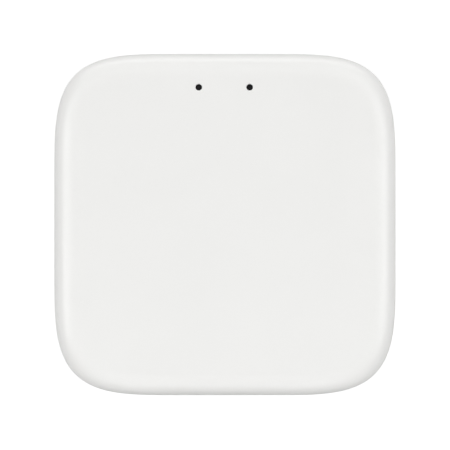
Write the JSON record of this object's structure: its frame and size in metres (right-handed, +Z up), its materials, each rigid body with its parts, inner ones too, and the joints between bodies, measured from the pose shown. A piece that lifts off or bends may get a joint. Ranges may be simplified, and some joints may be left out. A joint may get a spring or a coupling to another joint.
{
  "type": "smart home hub",
  "caption": "Flat rounded-square smart home radio hub with two pinhole indicators, a rear USB power socket, a rear reset button and rubber feet.",
  "frame": {"origin": "on the surface the hub stands on, under the middle of the housing", "axes": "+Z up out of the top face; +Y to the rear, where the socket, the button and the indicators are; +X to the right seen from above with the rear at the top"},
  "size_m": [0.06, 0.06, 0.015],
  "materials": {
    "white_plastic": "satin, very fine texture",
    "grey_plastic": "satin",
    "cream_plastic": "satin",
    "smoked_plastic": "dark, nearly opaque",
    "grey_rubber": "matte",
    "black_rubber": "matte",
    "black_epoxy": "moulded",
    "green_laminate": "solder mask over glass laminate",
    "blue_laminate": "solder mask over glass laminate",
    "label_film": "printed film, left blank",
    "led_body": "clear lens on white base",
    "tan_ceramic": "fired",
    "tinned_steel": "tin plated",
    "zinc": "zinc plated",
    "aluminium": "drawn",
    "gold": "gold plated"
  },
  "bodies": {
    "housing": {"top_cover": "white_plastic", "bottom_cover": "white_plastic", "blank_label": "label_film", "foot_front_left": "grey_rubber", "foot_front_right": "grey_rubber", "foot_rear_left": "grey_rubber", "foot_rear_right": "grey_rubber", "housing_screw_front_left": "zinc", "housing_screw_front_right": "zinc", "housing_screw_rear_left": "zinc", "housing_screw_rear_right": "zinc", "main_board": "green_laminate", "zigbee_module_board": "blue_laminate", "zigbee_module_shield": "tinned_steel", "wifi_module_board": "blue_laminate", "wifi_module_shield": "tinned_steel", "voltage_regulator": "black_epoxy", "input_fuse": "green_laminate", "surge_diode": "black_epoxy", "output_capacitor": "cream_plastic", "zigbee_capacitor": "tan_ceramic", "wifi_capacitor": "tan_ceramic", "led_resistor_left": "black_epoxy", "led_resistor_right": "black_epoxy", "capacitor_base": "black_epoxy", "capacitor_can": "aluminium", "status_led_left": "led_body", "status_led_right": "led_body", "led_shroud": "black_rubber", "light_guide": "smoked_plastic", "usb_socket_shell": "tinned_steel", "usb_insulator": "black_epoxy", "usb_contact_1": "gold", "usb_contact_2": "gold", "usb_contact_3": "gold", "usb_contact_4": "gold", "usb_contact_5": "gold", "switch_body": "black_epoxy", "switch_front_plate": "tinned_steel", "switch_dome": "tinned_steel"},
    "reset_button": {"reset_button": "grey_plastic"},
    "switch_plunger": {"switch_plunger": "cream_plastic"}
  },
  "joints": [
    {"name": "button_press", "type": "slide", "parent": "housing", "child": "reset_button", "axis": [0, -1, 0], "range_m": [0, 0.0004], "stiffness_N_per_m": 4000},
    {"name": "plunger_press", "type": "slide", "parent": "housing", "child": "switch_plunger", "axis": [0, -1, 0], "range_m": [0, 0.00025]}
  ],
  "couplings": [
    {"joint": "plunger_press", "follows": "button_press", "ratio": 0.625}
  ]
}
